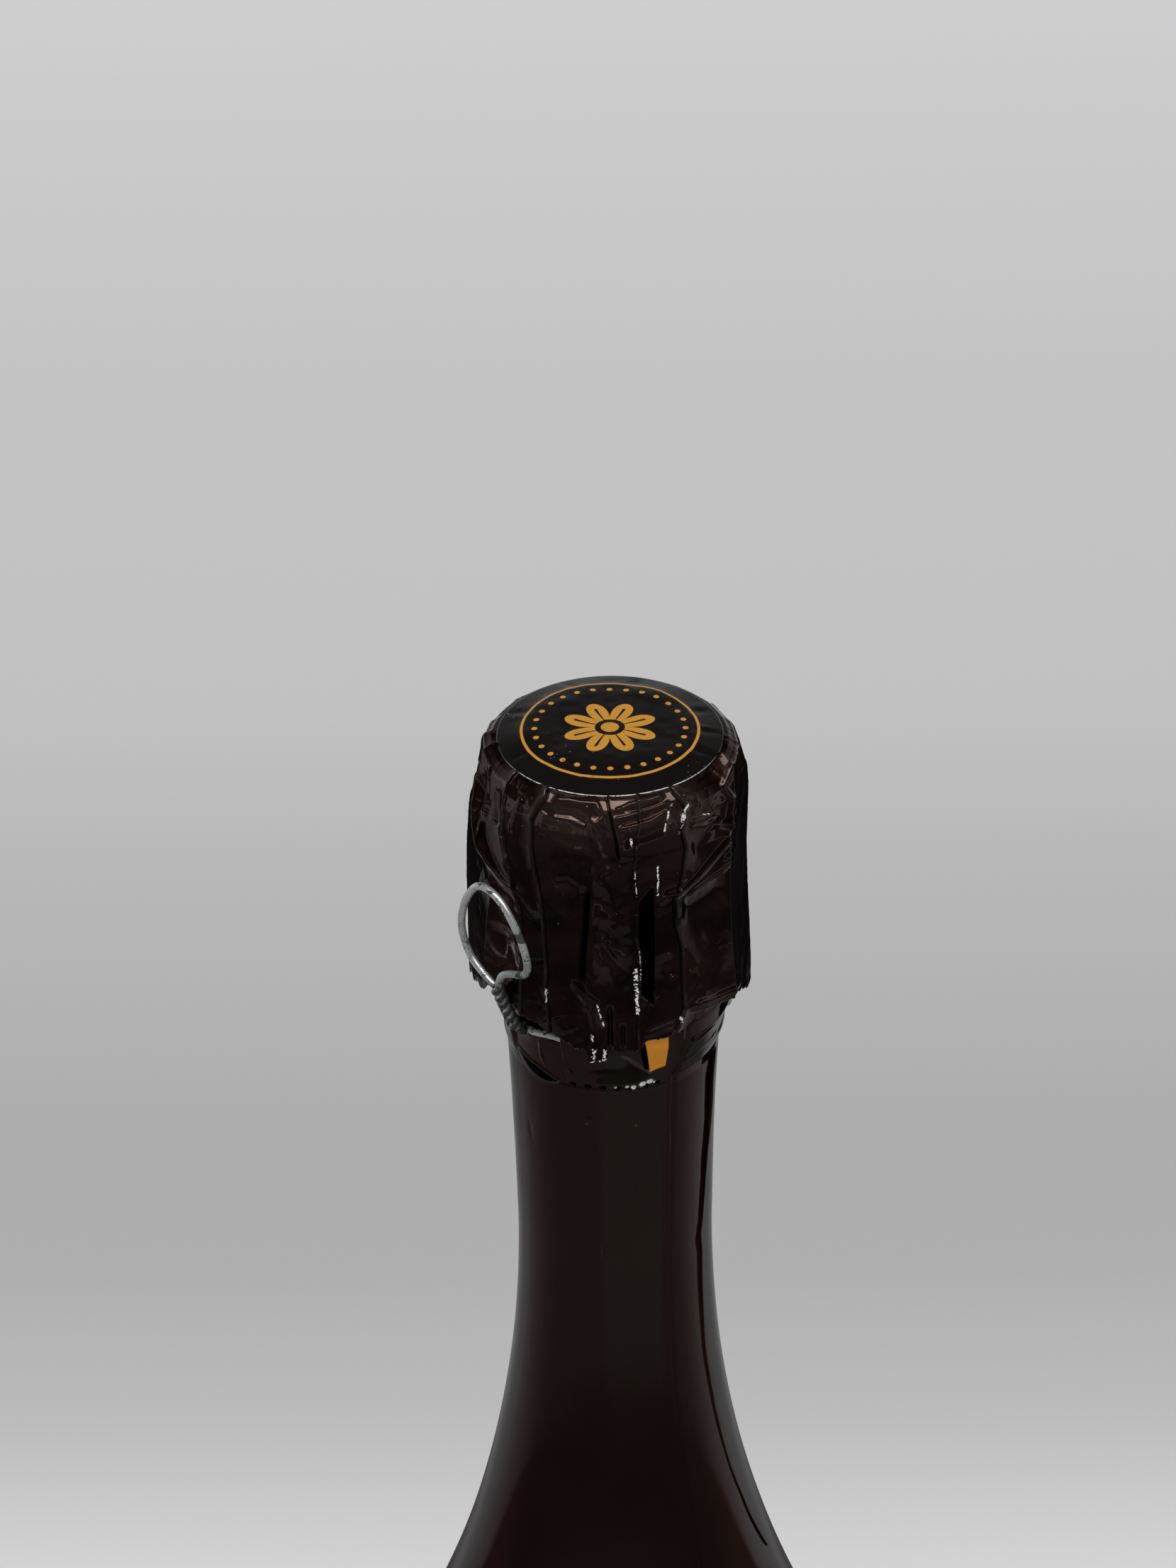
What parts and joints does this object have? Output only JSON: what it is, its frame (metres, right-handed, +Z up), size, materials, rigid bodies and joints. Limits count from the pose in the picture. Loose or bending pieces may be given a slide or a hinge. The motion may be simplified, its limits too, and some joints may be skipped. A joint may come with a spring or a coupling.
{
  "type": "champagne bottle",
  "caption": "Sealed champagne bottle: dark glass with punt, mushroom cork, twisted wire cage with pull loop, lacquered foil hood with torn edge, and long neck foil.",
  "frame": {"origin": "centre of the bearing ring, on the surface that the bottle stands on", "axes": "+Z up along the bottle's axis, -Y towards the front seen in the picture, +X to its right"},
  "size_m": [0.094, 0.094, 0.3198],
  "materials": {
    "bottle_glass": "thick dark green glass, gloss",
    "wine": "clear pale gold liquid",
    "agglomerate_cork": "pressed cork grains",
    "natural_cork": "smooth natural cork",
    "plate_enamel": "thin lacquered tinplate",
    "cage_steel": "galvanised wire, weathered",
    "neck_lacquer": "black lacquered foil, high gloss",
    "tab_plastic": "orange film",
    "hood_lacquer": "maroon-brown lacquered foil, worn through at creases",
    "head_lacquer": "black-brown lacquer with gold print, gloss"
  },
  "bodies": {
    "bottle": {"glass_bottle": "bottle_glass", "wine": "wine", "neck_foil": "neck_lacquer", "tear_tab": "tab_plastic"},
    "stopper": {"cork_body": "agglomerate_cork", "cork_disc_upper": "natural_cork", "cork_disc_lower": "natural_cork"},
    "cage": {"cap_plate": "plate_enamel", "cage_crown_ring": "cage_steel", "belt_wire": "cage_steel", "cage_leg_front": "cage_steel", "cage_leg_right": "cage_steel", "cage_leg_rear": "cage_steel", "cage_leg_left": "cage_steel"},
    "loop": {"wire_loop": "cage_steel"},
    "hood": {"hood_foil": "hood_lacquer", "hood_head": "head_lacquer"}
  },
  "joints": [
    {"name": "cork_pull", "type": "slide", "parent": "bottle", "child": "stopper", "axis": [0, 0, 1], "range_m": [0, 0.05], "deforming": ["belt_wire", "cage_leg_front", "cage_leg_right", "cage_leg_rear", "cage_leg_left"]},
    {"name": "cage_lift", "type": "slide", "parent": "stopper", "child": "cage", "axis": [0, 0, 1], "range_m": [0, 0.055], "deforming": ["belt_wire", "cage_leg_front", "cage_leg_right", "cage_leg_rear", "cage_leg_left"]},
    {"name": "hood_lift", "type": "slide", "parent": "cage", "child": "hood", "axis": [0, 0, 1], "range_m": [0, 0.055]},
    {"name": "loop_fold", "type": "hinge", "parent": "cage", "child": "loop", "pos_m": [-0.01255, -0.01091, 0.2762], "axis": [0.6561, -0.7547, 0], "range_deg": [0, 100]}
  ]
}
